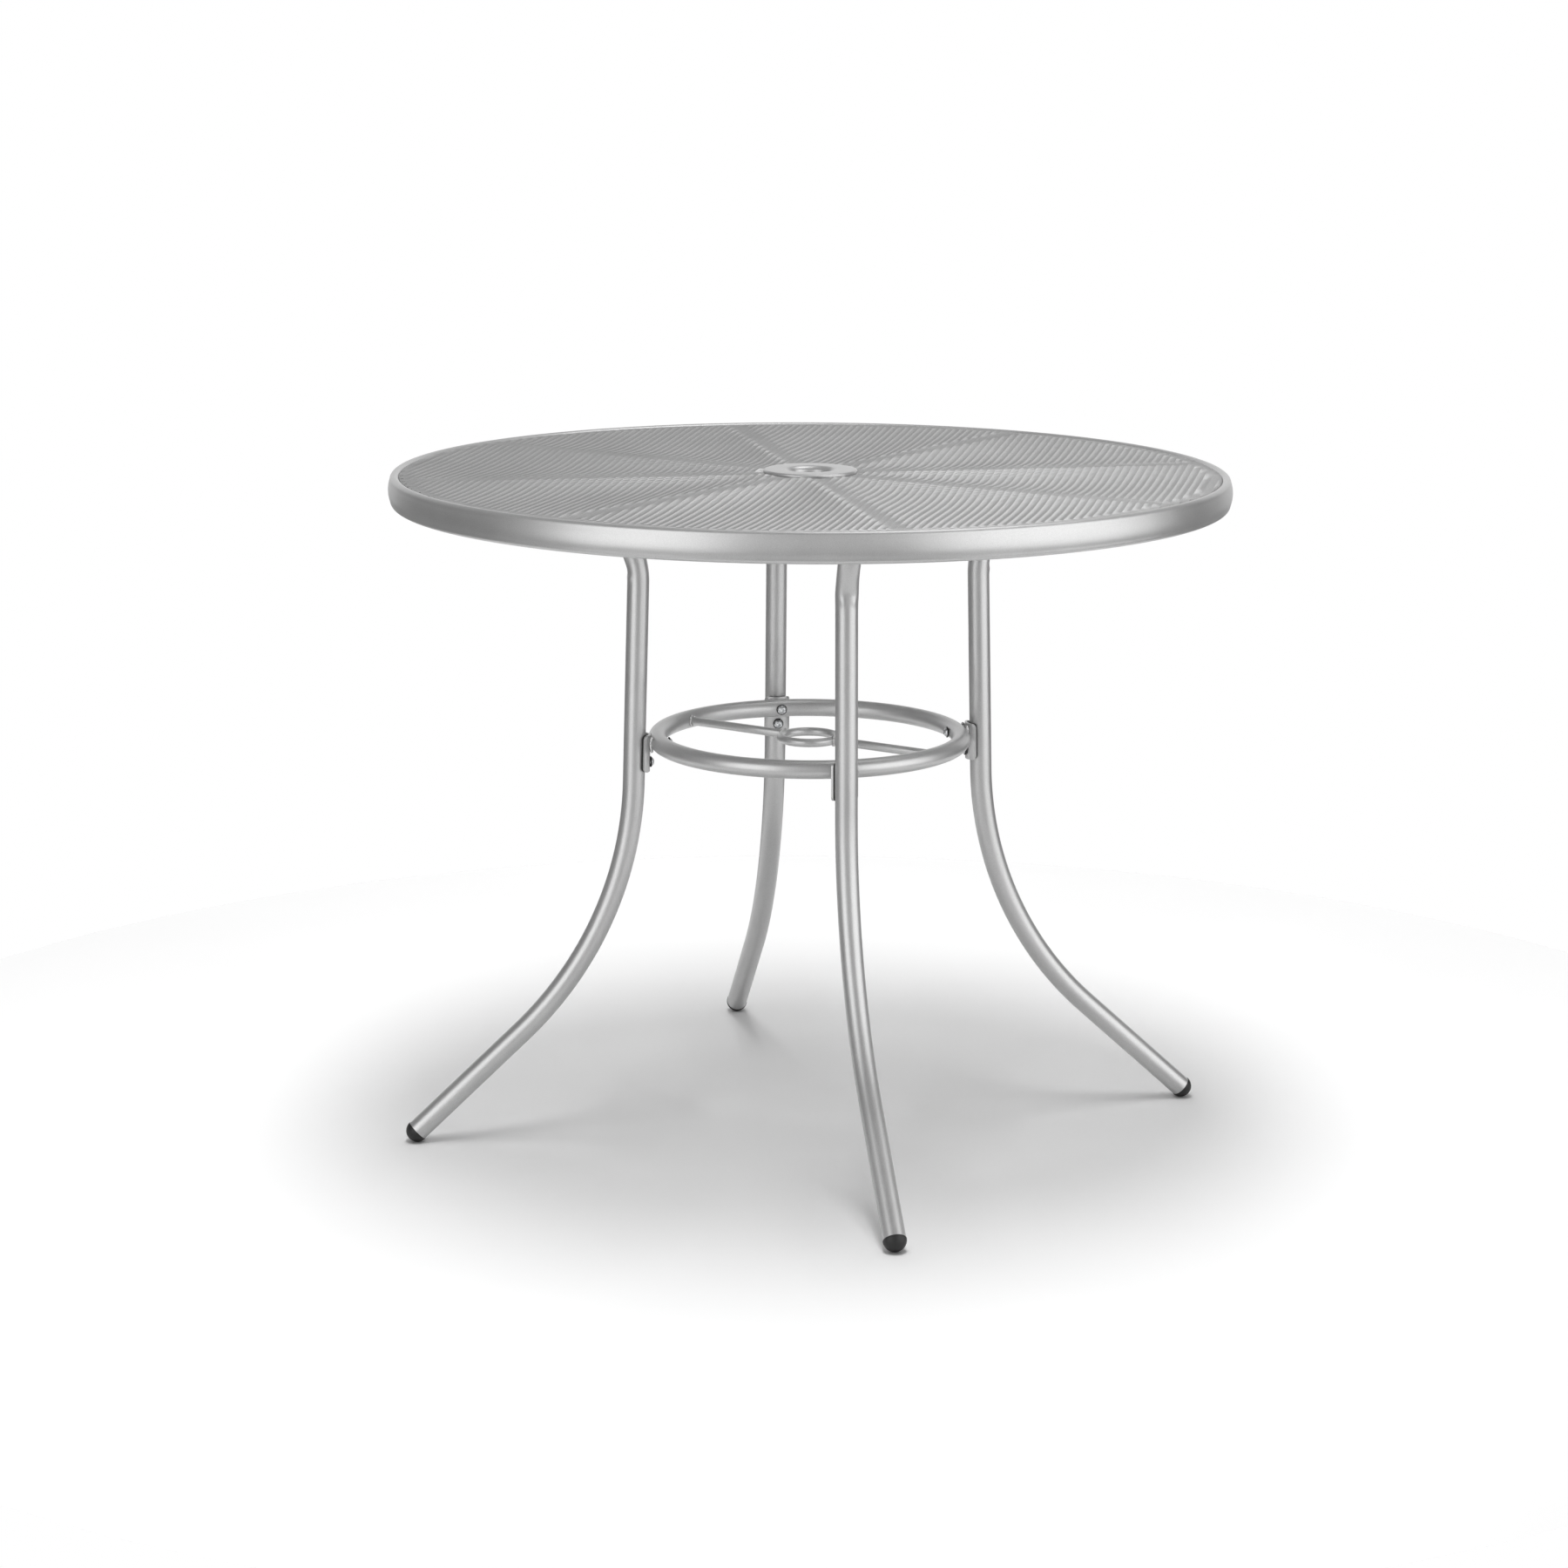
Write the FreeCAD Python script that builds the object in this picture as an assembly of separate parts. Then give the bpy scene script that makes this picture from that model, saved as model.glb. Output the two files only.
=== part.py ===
import FreeCAD, Part
import os
from math import asin, cos, degrees, pi, radians, sin, tan

# A round garden table with a steel mesh top and a hole for an umbrella pole.
# Millimetres. +Z is up and z = 0 is the floor. The origin is on the floor,
# on the axis of the umbrella hole. The four legs stand along -Y (front),
# +X (right), +Y (back) and -X (left).

os.makedirs("parts", exist_ok=True)

# Driving dimensions: the whole table
TABLE_DIAMETER = 914.0
TABLE_HEIGHT = 737.0
LEG_AZIMUTHS = {"front": -90.0, "right": 0.0, "back": 90.0, "left": 180.0}

# Driving dimensions: the rim, a hoop of oval tube, and the flat hoop inside it
RIM_WIDTH = 12.0
RIM_DEPTH = 32.0
RIM_CORNER = 5.0
RIM_BULGE = 2.0
RIM_WALL = 1.2
HOOP_THICKNESS = 3.0
HOOP_DEPTH = 18.0

# Driving dimensions: the mesh sheet, which hangs a little between the ribs
MESH_THICKNESS = 1.2
MESH_BELOW_RIM = 1.6
MESH_SAG = 6.0
MESH_EDGE_GAP = 0.2
MESH_HOLE_RADIUS = 27.0
MESH_GRID_ACROSS = 12
MESH_GRID_TURN = -22.5
MESH_OPENING = 54.0
MESH_LEAST_SHARE = 0.3
MESH_PLAIN_BORDER = 9.0

# Driving dimensions: the ribs under the mesh
RIB_COUNT = 8
RIB_WIDTH = 16.0
RIB_DEPTH = 8.0

# Driving dimensions: the hub
HUB_PLATE_DIAMETER = 102.0
HUB_PLATE_THICKNESS = 2.0
HUB_PLATE_CROWN = 3.6
HUB_PLATE_EDGE_ROUND = 2.2
UMBRELLA_HOLE_DIAMETER = 44.0
HUB_LIP_RADIUS = 7.0
HUB_NECK_LENGTH = 16.0
HUB_COLLAR_GAP = 0.6
HUB_COLLAR_WALL = 4.0
HUB_COLLAR_DEPTH = 18.0

# Driving dimensions: the legs
LEG_DIAMETER = 24.0
LEG_WALL = 1.5
LEG_LEAN = 1.6
LEG_KNEE_RADIUS = 196.4
LEG_KNEE_HEIGHT = 398.0
LEG_KNEE_BEND = 393.0
LEG_SPLAY = 47.5
LEG_SHOULDER_BEND = 93.0
LEG_ARM_REACH = 400.0

# Driving dimensions: the feet and the plugs in the outer ends of the arms
FOOT_CAP_RADIUS = 12.5
FOOT_CENTRE_HEIGHT = 11.9
PLUG_STEM_LENGTH = 18.0
PLUG_STEM_GAP = 0.1
ARM_PLUG_THICKNESS = 3.0

# Driving dimensions: the brace ring, the crossbar and the pole guide
RING_TUBE_DIAMETER = 20.0
RING_WALL = 1.5
RING_RADIUS = 167.8
RING_HEIGHT = 440.6
ROD_DIAMETER = 9.5
GUIDE_RADIUS = 31.0
CROSSBAR_AZIMUTHS = {"left": 135.0, "right": -45.0}

# Driving dimensions: the saddle brackets between the ring and the legs, and the
# pads that keep them off the legs' paint
BRACKET_THICKNESS = 2.5
BRACKET_WRAP = 58.0
BRACKET_HEIGHT = 41.0
BRACKET_CENTRE_HEIGHT = 431.0
BRACKET_CORNER = 5.0
PAD_THICKNESS = 2.6
PAD_GAP = 0.1
LOWER_SCREW_HEIGHT = 420.0

# Driving dimensions: the M6 screws, bolts, washers and rivet nuts
SCREW_DIAMETER = 6.0
THREAD_CLEARANCE = 0.05
SCREW_HOLE = 6.4
BUTTON_DIAMETER = 10.5
BUTTON_HEIGHT = 3.3
SOCKET_ACROSS_FLATS = 4.0
SOCKET_DEPTH = 2.0
WASHER_DIAMETER = 12.0
WASHER_THICKNESS = 1.5
SEAT_GAP = 0.18
RIVET_NUT_DIAMETER = 9.0
RIVET_NUT_LENGTH = 12.0
RIVET_NUT_RECESS = 0.95
HEX_ACROSS_FLATS = 10.0
BOLT_HEAD_HEIGHT = 4.0
ARM_BOLT_RADII = (310.0, 380.0)
BOLT_END_BELOW_MESH = 1.0

# Heights and radii that follow from the dimensions above
RIM_RADIUS = TABLE_DIAMETER / 2
RIM_INNER_RADIUS = RIM_RADIUS - RIM_WIDTH
RIM_BOTTOM = TABLE_HEIGHT - RIM_DEPTH
MESH_TOP = TABLE_HEIGHT - MESH_BELOW_RIM
MESH_BOTTOM = MESH_TOP - MESH_THICKNESS
RIB_BOTTOM = MESH_BOTTOM - RIB_DEPTH
HOOP_INNER_RADIUS = RIM_INNER_RADIUS - HOOP_THICKNESS
UMBRELLA_HOLE_RADIUS = UMBRELLA_HOLE_DIAMETER / 2
HUB_NECK_RADIUS = UMBRELLA_HOLE_RADIUS + HUB_PLATE_THICKNESS
HUB_COLLAR_INNER = HUB_NECK_RADIUS + HUB_COLLAR_GAP
HUB_COLLAR_OUTER = HUB_COLLAR_INNER + HUB_COLLAR_WALL
LEG_RADIUS = LEG_DIAMETER / 2
LEG_BORE_RADIUS = LEG_RADIUS - LEG_WALL
ARM_HEIGHT = RIB_BOTTOM - LEG_RADIUS
RING_TUBE_RADIUS = RING_TUBE_DIAMETER / 2
ROD_RADIUS = ROD_DIAMETER / 2
THREAD_RADIUS = SCREW_DIAMETER / 2 + THREAD_CLEARANCE
PAD_INNER_RADIUS = LEG_RADIUS + PAD_GAP
SADDLE_INNER_RADIUS = PAD_INNER_RADIUS + PAD_THICKNESS + PAD_GAP
SADDLE_OUTER_RADIUS = SADDLE_INNER_RADIUS + BRACKET_THICKNESS

UP = FreeCAD.Vector(0, 0, 1)
OUTWARD = FreeCAD.Vector(1, 0, 0)
CENTRE = FreeCAD.Vector(0, 0, 0)


def radial(radius, height):
    """A point in the XZ plane, where the legs and profiles are drawn."""
    return FreeCAD.Vector(radius, 0, height)


def ring_of(profile):
    """A closed profile in the XZ plane turned once about the table's axis."""
    return Part.Face(profile).revolve(CENTRE, UP, 360)


def washer_of(outer, inner, bottom, height):
    """A plain ring about the table's axis."""
    body = Part.makeCylinder(outer, height, radial(0, bottom))
    hole = Part.makeCylinder(inner, height, radial(0, bottom))
    return body.cut(hole)


def turned(shape, azimuth):
    """A copy of the shape, turned about the table's axis from +X."""
    copy = shape.copy()
    copy.rotate(CENTRE, UP, azimuth)
    return copy


def arc(start, middle, end):
    return Part.Arc(start, middle, end).toShape()


def line(start, end):
    return Part.LineSegment(start, end).toShape()


def fused(shapes):
    return shapes[0].multiFuse(shapes[1:]).removeSplitter()


# Rim: an oval tube bent into a hoop, with a gently bulging outer face
def rim_profile(inset):
    """The rim's section. The inset is 0 outside and the wall's thickness inside."""
    corner = RIM_CORNER - inset
    slant = corner * sin(radians(45))
    middle = RIM_INNER_RADIUS + RIM_CORNER
    high = TABLE_HEIGHT - RIM_CORNER
    low = RIM_BOTTOM + RIM_CORNER
    inner = middle - corner
    outer = middle + corner
    belly = radial(outer + RIM_BULGE, (high + low) / 2)
    edges = [
        line(radial(inner, low), radial(inner, high)),
        arc(radial(inner, high), radial(middle - slant, high + slant), radial(middle, high + corner)),
        arc(radial(middle, high + corner), radial(middle + slant, high + slant), radial(outer, high)),
        arc(radial(outer, high), belly, radial(outer, low)),
        arc(radial(outer, low), radial(middle + slant, low - slant), radial(middle, low - corner)),
        arc(radial(middle, low - corner), radial(middle - slant, low - slant), radial(inner, low)),
    ]
    return Part.Wire(edges)


def make_rim_band():
    return ring_of(rim_profile(0)).cut(ring_of(rim_profile(RIM_WALL)))


def make_inner_hoop():
    """The flat hoop inside the rim: it carries the mesh's edge and the ribs' ends."""
    return washer_of(RIM_INNER_RADIUS, HOOP_INNER_RADIUS, MESH_BOTTOM - HOOP_DEPTH, HOOP_DEPTH)


# Mesh: one sheet, level on the ribs, the rim and the hub, and hollow between them.
# The real sheet is expanded steel with thousands of small diamonds. Here a plain grid of
# openings stands for them.
# Each column is a place across a sector, from one rib to the next, with its share
# of the sag. Each station is a radius, with its share of the sag.
MESH_COLUMNS = ((0.0, 0.0), (0.25, 0.75), (0.5, 1.0), (0.75, 0.75), (1.0, 0.0))
MESH_STATIONS = (
    (22.0, 0.0),
    (56.0, 0.0),
    (150.0, 0.65),
    (260.0, 1.0),
    (370.0, 0.75),
    (442.0, 0.0),
    (480.0, 0.0),
)


def mesh_point(rib, column, station, height):
    """A point of the sheet, in the sector that starts at this rib."""
    across, column_sag = column
    radius, station_sag = station
    sector = 360.0 / RIB_COUNT
    rib_edge = degrees(asin(RIB_WIDTH / 2 / radius))
    azimuth = radians(rib * sector + rib_edge + across * (sector - 2 * rib_edge))
    sag = MESH_SAG * column_sag * station_sag
    return FreeCAD.Vector(radius * cos(azimuth), radius * sin(azimuth), height - sag)


def mesh_rows(height):
    """The rows of points of one side of the sheet, one row for each station."""
    rows = []
    for station in MESH_STATIONS:
        row = []
        for rib in range(RIB_COUNT):
            for column in MESH_COLUMNS:
                row.append(mesh_point(rib, column, station, height))
        rows.append(row)
    return rows


def triangle(first, second, third):
    return Part.Face(Part.makePolygon([first, second, third, first]))


def strip(near_row, far_row):
    """The band of triangles between two closed rows of points."""
    faces = []
    for index in range(len(near_row)):
        after = (index + 1) % len(near_row)
        faces.append(triangle(near_row[index], far_row[index], far_row[after]))
        faces.append(triangle(near_row[index], far_row[after], near_row[after]))
    return faces


def mesh_openings():
    """A plain grid of square openings, turned as the real mesh's small diamonds are. They take
    away the same share of the sheet. Those that the hub or the rim would leave small are left out."""
    pitch = TABLE_DIAMETER / MESH_GRID_ACROSS
    outer = HOOP_INNER_RADIUS - MESH_PLAIN_BORDER
    inner = HUB_PLATE_DIAMETER / 2 + MESH_PLAIN_BORDER
    zone = washer_of(outer, inner, RIM_BOTTOM, RIM_DEPTH)
    openings = []
    for column in range(MESH_GRID_ACROSS):
        for row in range(MESH_GRID_ACROSS):
            x = (column + 0.5) * pitch - RIM_RADIUS - MESH_OPENING / 2
            y = (row + 0.5) * pitch - RIM_RADIUS - MESH_OPENING / 2
            block = Part.makeBox(MESH_OPENING, MESH_OPENING, RIM_DEPTH, FreeCAD.Vector(x, y, RIM_BOTTOM))
            opening = turned(block, MESH_GRID_TURN).common(zone)
            if opening.Volume > MESH_LEAST_SHARE * block.Volume:
                openings.append(opening)
    return openings


def make_mesh_top():
    upper = mesh_rows(MESH_TOP)
    lower = mesh_rows(MESH_BOTTOM)
    faces = []
    for index in range(len(MESH_STATIONS) - 1):
        faces += strip(upper[index], upper[index + 1])
        faces += strip(lower[index + 1], lower[index])
    faces += strip(upper[-1], lower[-1])
    faces += strip(lower[0], upper[0])
    sheet = Part.Solid(Part.Shell(faces))
    disc = washer_of(RIM_INNER_RADIUS - MESH_EDGE_GAP, MESH_HOLE_RADIUS, RIM_BOTTOM, RIM_DEPTH)
    return sheet.common(disc).cut(mesh_openings())


# Ribs: flat bars from the hub collar to the inner hoop
def is_over_a_leg(azimuth):
    return azimuth % (360.0 / len(LEG_AZIMUTHS)) == 0


def make_rib(azimuth):
    """A flat bar. One that lies over a leg's arm has two threaded holes for its bolts."""
    corner = FreeCAD.Vector(0, -RIB_WIDTH / 2, RIB_BOTTOM)
    rib = Part.makeBox(RIM_RADIUS, RIB_WIDTH, RIB_DEPTH, corner)
    rib = rib.common(washer_of(HOOP_INNER_RADIUS, HUB_COLLAR_OUTER, RIB_BOTTOM, RIB_DEPTH))
    if is_over_a_leg(azimuth):
        for radius in ARM_BOLT_RADII:
            rib = rib.cut(Part.makeCylinder(THREAD_RADIUS, RIB_DEPTH, radial(radius, RIB_BOTTOM)))
    return turned(rib, azimuth)


# Hub: a collar that the ribs are welded to, and the pressed plate on the mesh
def make_hub_collar():
    return washer_of(HUB_COLLAR_OUTER, HUB_COLLAR_INNER, MESH_BOTTOM - HUB_COLLAR_DEPTH, HUB_COLLAR_DEPTH)


def make_hub_plate():
    """A pressed disc whose middle rolls down into the neck that guides the pole."""
    hole = UMBRELLA_HOLE_RADIUS
    neck = HUB_NECK_RADIUS
    edge = HUB_PLATE_DIAMETER / 2
    crown = MESH_TOP + HUB_PLATE_CROWN
    lip_centre = hole + HUB_LIP_RADIUS
    lip_level = crown - HUB_LIP_RADIUS
    lip_slant = HUB_LIP_RADIUS * cos(radians(45))
    under_radius = HUB_LIP_RADIUS - HUB_PLATE_THICKNESS
    under_slant = under_radius * cos(radians(45))
    round_start = crown - HUB_PLATE_EDGE_ROUND
    round_slant = HUB_PLATE_EDGE_ROUND * cos(radians(45))
    under = crown - HUB_PLATE_THICKNESS
    inner_edge = edge - HUB_PLATE_THICKNESS
    neck_bottom = lip_level - HUB_NECK_LENGTH
    edge_centre = edge - HUB_PLATE_EDGE_ROUND
    edges = [
        line(radial(edge, MESH_TOP), radial(edge, round_start)),
        arc(radial(edge, round_start), radial(edge_centre + round_slant, round_start + round_slant),
            radial(edge_centre, crown)),
        line(radial(edge_centre, crown), radial(lip_centre, crown)),
        arc(radial(lip_centre, crown), radial(lip_centre - lip_slant, lip_level + lip_slant),
            radial(hole, lip_level)),
        line(radial(hole, lip_level), radial(hole, neck_bottom)),
        line(radial(hole, neck_bottom), radial(neck, neck_bottom)),
        line(radial(neck, neck_bottom), radial(neck, lip_level)),
        arc(radial(neck, lip_level), radial(lip_centre - under_slant, lip_level + under_slant),
            radial(lip_centre, under)),
        line(radial(lip_centre, under), radial(inner_edge, under)),
        line(radial(inner_edge, under), radial(inner_edge, MESH_TOP)),
        line(radial(inner_edge, MESH_TOP), radial(edge, MESH_TOP)),
    ]
    return ring_of(Part.Wire(edges))


# Legs: the centre line of each is drawn in the XZ plane, from the arm's outer end,
# round the shoulder, down the nearly upright post, round the knee and out to the foot.
def leg_points():
    """The corners between the centre line's runs and arcs, with each arc's middle point."""
    lean = radians(LEG_LEAN)
    splay = radians(LEG_SPLAY)
    knee_start = radial(LEG_KNEE_RADIUS, LEG_KNEE_HEIGHT)
    knee_centre = knee_start + radial(LEG_KNEE_BEND * cos(lean), LEG_KNEE_BEND * sin(lean))
    shoulder_low = ARM_HEIGHT - LEG_SHOULDER_BEND * (1 + sin(lean))
    shoulder_radius = LEG_KNEE_RADIUS - (shoulder_low - LEG_KNEE_HEIGHT) * tan(lean)
    shoulder_centre_radius = shoulder_radius + LEG_SHOULDER_BEND * cos(lean)
    shoulder_centre = radial(shoulder_centre_radius, ARM_HEIGHT - LEG_SHOULDER_BEND)

    def knee(angle):
        return knee_centre - radial(LEG_KNEE_BEND * cos(angle), LEG_KNEE_BEND * sin(angle))

    def shoulder(angle):
        return shoulder_centre + radial(-LEG_SHOULDER_BEND * cos(angle), LEG_SHOULDER_BEND * sin(angle))

    knee_end = knee(splay)
    foot_run = (knee_end.z - FOOT_CENTRE_HEIGHT) / cos(splay)
    return {
        "arm_end": radial(LEG_ARM_REACH, ARM_HEIGHT),
        "shoulder_top": shoulder(pi / 2),
        "shoulder_middle": shoulder((pi / 2 - lean) / 2),
        "shoulder_low": shoulder(-lean),
        "knee_top": knee(lean),
        "knee_middle": knee((lean + splay) / 2),
        "knee_end": knee_end,
        "foot": knee_end + radial(foot_run * sin(splay), -foot_run * cos(splay)),
    }


LEG_PATH = leg_points()
FOOT_DIRECTION = (LEG_PATH["foot"] - LEG_PATH["knee_end"]).normalize()


def leg_rod(radius):
    """A solid bar along the centre line of a leg."""
    path = LEG_PATH
    spine = Part.Wire([
        line(path["arm_end"], path["shoulder_top"]),
        arc(path["shoulder_top"], path["shoulder_middle"], path["shoulder_low"]),
        line(path["shoulder_low"], path["knee_top"]),
        arc(path["knee_top"], path["knee_middle"], path["knee_end"]),
        line(path["knee_end"], path["foot"]),
    ])
    section = Part.Wire(Part.makeCircle(radius, path["arm_end"], OUTWARD))
    return spine.makePipeShell([section], True, False)


def make_leg():
    leg = leg_rod(LEG_RADIUS).cut(leg_rod(LEG_BORE_RADIUS))
    for height in (RING_HEIGHT, LOWER_SCREW_HEIGHT):
        inside_the_table = radial(post_radius(height) - LEG_DIAMETER, height)
        leg = leg.cut(Part.makeCylinder(RIVET_NUT_DIAMETER / 2, LEG_DIAMETER, inside_the_table, OUTWARD))
    for radius in ARM_BOLT_RADII:
        below_the_arm = radial(radius, ARM_HEIGHT - LEG_DIAMETER)
        leg = leg.cut(Part.makeCylinder(SCREW_HOLE / 2, 2 * LEG_DIAMETER, below_the_arm))
    return leg


def post_radius(height):
    """The leg's distance from the table's axis, at a height on its straight post."""
    return LEG_KNEE_RADIUS - (height - LEG_KNEE_HEIGHT) * tan(radians(LEG_LEAN))


# Feet and plugs: black plastic caps pushed into the tubes' ends
def make_foot_cap():
    """A dome on a stem. The dome is cut flat where it stands on the floor."""
    foot = LEG_PATH["foot"]
    ball = Part.makeSphere(FOOT_CAP_RADIUS, foot)
    beyond_the_end = Part.makeCylinder(2 * FOOT_CAP_RADIUS, 2 * FOOT_CAP_RADIUS, foot, FOOT_DIRECTION)
    dome = ball.common(beyond_the_end)
    stem_start = foot - FOOT_DIRECTION * PLUG_STEM_LENGTH
    stem = Part.makeCylinder(LEG_BORE_RADIUS - PLUG_STEM_GAP, PLUG_STEM_LENGTH, stem_start, FOOT_DIRECTION)
    cap = fused([dome, stem])
    floor_corner = FreeCAD.Vector(0, -TABLE_HEIGHT / 2, -TABLE_HEIGHT)
    return cap.cut(Part.makeBox(TABLE_HEIGHT, TABLE_HEIGHT, TABLE_HEIGHT, floor_corner))


def make_arm_plug():
    end = LEG_PATH["arm_end"]
    head = Part.makeCylinder(LEG_RADIUS, ARM_PLUG_THICKNESS, end, OUTWARD)
    stem_start = end - OUTWARD * (PLUG_STEM_LENGTH / 2)
    stem = Part.makeCylinder(LEG_BORE_RADIUS - PLUG_STEM_GAP, PLUG_STEM_LENGTH / 2, stem_start, OUTWARD)
    return fused([head, stem])


# Brace ring, crossbar and pole guide
def torus(ring_radius, tube_radius):
    return Part.makeTorus(ring_radius, tube_radius, radial(0, RING_HEIGHT))


def make_brace_ring():
    ring = torus(RING_RADIUS, RING_TUBE_RADIUS).cut(torus(RING_RADIUS, RING_TUBE_RADIUS - RING_WALL))
    hole_start = radial(RING_RADIUS - RING_TUBE_DIAMETER, RING_HEIGHT)
    hole = Part.makeCylinder(SCREW_HOLE / 2, 2 * RING_TUBE_DIAMETER, hole_start, OUTWARD)
    for azimuth in LEG_AZIMUTHS.values():
        ring = ring.cut(turned(hole, azimuth))
    return ring


def make_guide_ring():
    return torus(GUIDE_RADIUS, ROD_RADIUS)


def make_crossbar(azimuth):
    """A rod from the pole guide to the brace ring, its ends shaped to fit them."""
    rod_start = radial(GUIDE_RADIUS, RING_HEIGHT)
    rod = Part.makeCylinder(ROD_RADIUS, RING_RADIUS - GUIDE_RADIUS, rod_start, OUTWARD)
    rod = rod.cut(torus(RING_RADIUS, RING_TUBE_RADIUS))
    rod = rod.cut(torus(GUIDE_RADIUS, ROD_RADIUS))
    return turned(rod, azimuth)


# Brackets: plates rolled round the leg and welded to the ring, each on a plastic pad
def saddle(inner_radius, thickness):
    """A rolled plate with rounded corners and two screw holes, on the leg's inner side."""
    lean = radians(LEG_LEAN)
    axis = FreeCAD.Vector(-sin(lean), 0, cos(lean))
    inward = FreeCAD.Vector(-cos(lean), 0, -sin(lean))
    middle = radial(post_radius(BRACKET_CENTRE_HEIGHT), BRACKET_CENTRE_HEIGHT)
    low = middle - axis * (BRACKET_HEIGHT / 2)
    high = middle + axis * (BRACKET_HEIGHT / 2)
    inner = inward * inner_radius
    outer = inward * (inner_radius + thickness)
    section = Part.Face(Part.makePolygon([low + inner, low + outer, high + outer, high + inner, low + inner]))
    section.rotate(middle, axis, -BRACKET_WRAP)
    plate = section.revolve(middle, axis, 2 * BRACKET_WRAP)
    corners = [edge for edge in plate.Edges if is_straight(edge) and edge.Length < BRACKET_HEIGHT / 2]
    plate = plate.makeFillet(BRACKET_CORNER, corners)
    for height in (RING_HEIGHT, LOWER_SCREW_HEIGHT):
        hole_start = radial(middle.x - LEG_DIAMETER, height)
        plate = plate.cut(Part.makeCylinder(SCREW_HOLE / 2, LEG_DIAMETER, hole_start, OUTWARD))
    return plate


def is_straight(edge):
    return isinstance(edge.Curve, Part.Line)


def make_bracket():
    return saddle(SADDLE_INNER_RADIUS, BRACKET_THICKNESS)


def make_bracket_pad():
    return saddle(PAD_INNER_RADIUS, PAD_THICKNESS)


# Fasteners: each is made along +X with its seat at x = 0 and its shank towards +X
def hexagon(across_flats, length):
    corner_radius = across_flats / 2 / cos(radians(30))
    points = []
    for index in range(7):
        angle = radians(60 * index)
        points.append(FreeCAD.Vector(0, corner_radius * cos(angle), corner_radius * sin(angle)))
    return Part.Face(Part.makePolygon(points)).extrude(OUTWARD * length)


def shank(length):
    return Part.makeCylinder(SCREW_DIAMETER / 2, length, CENTRE, OUTWARD)


def button_screw(length):
    """A screw with a low domed head and a hexagon socket."""
    edge = BUTTON_DIAMETER / 2
    dome_radius = (edge ** 2 + BUTTON_HEIGHT ** 2) / (2 * BUTTON_HEIGHT)
    dome = Part.makeSphere(dome_radius, FreeCAD.Vector(dome_radius - BUTTON_HEIGHT, 0, 0))
    head = dome.common(Part.makeCylinder(edge, BUTTON_HEIGHT, -OUTWARD * BUTTON_HEIGHT, OUTWARD))
    socket = hexagon(SOCKET_ACROSS_FLATS, SOCKET_DEPTH)
    socket.translate(-OUTWARD * BUTTON_HEIGHT)
    return fused([head, shank(length)]).cut(socket)


def hex_bolt(length):
    head = hexagon(HEX_ACROSS_FLATS, BOLT_HEAD_HEIGHT)
    head.translate(-OUTWARD * BOLT_HEAD_HEIGHT)
    return fused([head, shank(length)])


def plain_washer():
    body = Part.makeCylinder(WASHER_DIAMETER / 2, WASHER_THICKNESS, CENTRE, OUTWARD)
    return body.cut(Part.makeCylinder(SCREW_HOLE / 2, WASHER_THICKNESS, CENTRE, OUTWARD))


def rivet_nut():
    """A sleeve with a threaded bore, a hair wider than the screw in it."""
    body = Part.makeCylinder(RIVET_NUT_DIAMETER / 2, RIVET_NUT_LENGTH, CENTRE, OUTWARD)
    return body.cut(Part.makeCylinder(THREAD_RADIUS, RIVET_NUT_LENGTH, CENTRE, OUTWARD))


def at_each_leg(shape, radius, height):
    """Copies of a fastener that points outwards, one at each leg."""
    copies = []
    for azimuth in LEG_AZIMUTHS.values():
        copy = shape.copy()
        copy.translate(radial(radius, height))
        copies.append(turned(copy, azimuth))
    return copies


def under_each_arm(shape, height):
    """Copies of a fastener that points up, one at each bolt of each arm."""
    upright = shape.copy()
    upright.rotate(CENTRE, FreeCAD.Vector(0, 1, 0), -90)
    copies = []
    for azimuth in LEG_AZIMUTHS.values():
        for radius in ARM_BOLT_RADII:
            copy = upright.copy()
            copy.translate(radial(radius, height))
            copies.append(turned(copy, azimuth))
    return copies


def fastener_groups():
    """Every kind of fastener, each kind as one group of separate solids."""
    ring_seat = RING_RADIUS - RING_TUBE_RADIUS - SEAT_GAP - WASHER_THICKNESS
    plate_seat = post_radius(LOWER_SCREW_HEIGHT) - SADDLE_OUTER_RADIUS - SEAT_GAP - WASHER_THICKNESS
    upper_nut = post_radius(RING_HEIGHT) - LEG_RADIUS + RIVET_NUT_RECESS
    lower_nut = post_radius(LOWER_SCREW_HEIGHT) - LEG_RADIUS + RIVET_NUT_RECESS
    upper_length = upper_nut + RIVET_NUT_LENGTH - ring_seat
    lower_length = lower_nut + RIVET_NUT_LENGTH - plate_seat
    arm_seat = ARM_HEIGHT - LEG_RADIUS - WASHER_THICKNESS
    bolt_length = MESH_BOTTOM - BOLT_END_BELOW_MESH - arm_seat
    return {
        "ring_screws": at_each_leg(button_screw(upper_length), ring_seat, RING_HEIGHT),
        "bracket_screws": at_each_leg(button_screw(lower_length), plate_seat, LOWER_SCREW_HEIGHT),
        "ring_screw_washers": at_each_leg(plain_washer(), ring_seat, RING_HEIGHT),
        "bracket_screw_washers": at_each_leg(plain_washer(), plate_seat, LOWER_SCREW_HEIGHT),
        "leg_rivet_nuts": at_each_leg(rivet_nut(), upper_nut, RING_HEIGHT)
        + at_each_leg(rivet_nut(), lower_nut, LOWER_SCREW_HEIGHT),
        "arm_bolts": under_each_arm(hex_bolt(bolt_length), arm_seat),
        "arm_bolt_washers": under_each_arm(plain_washer(), arm_seat),
    }


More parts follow.
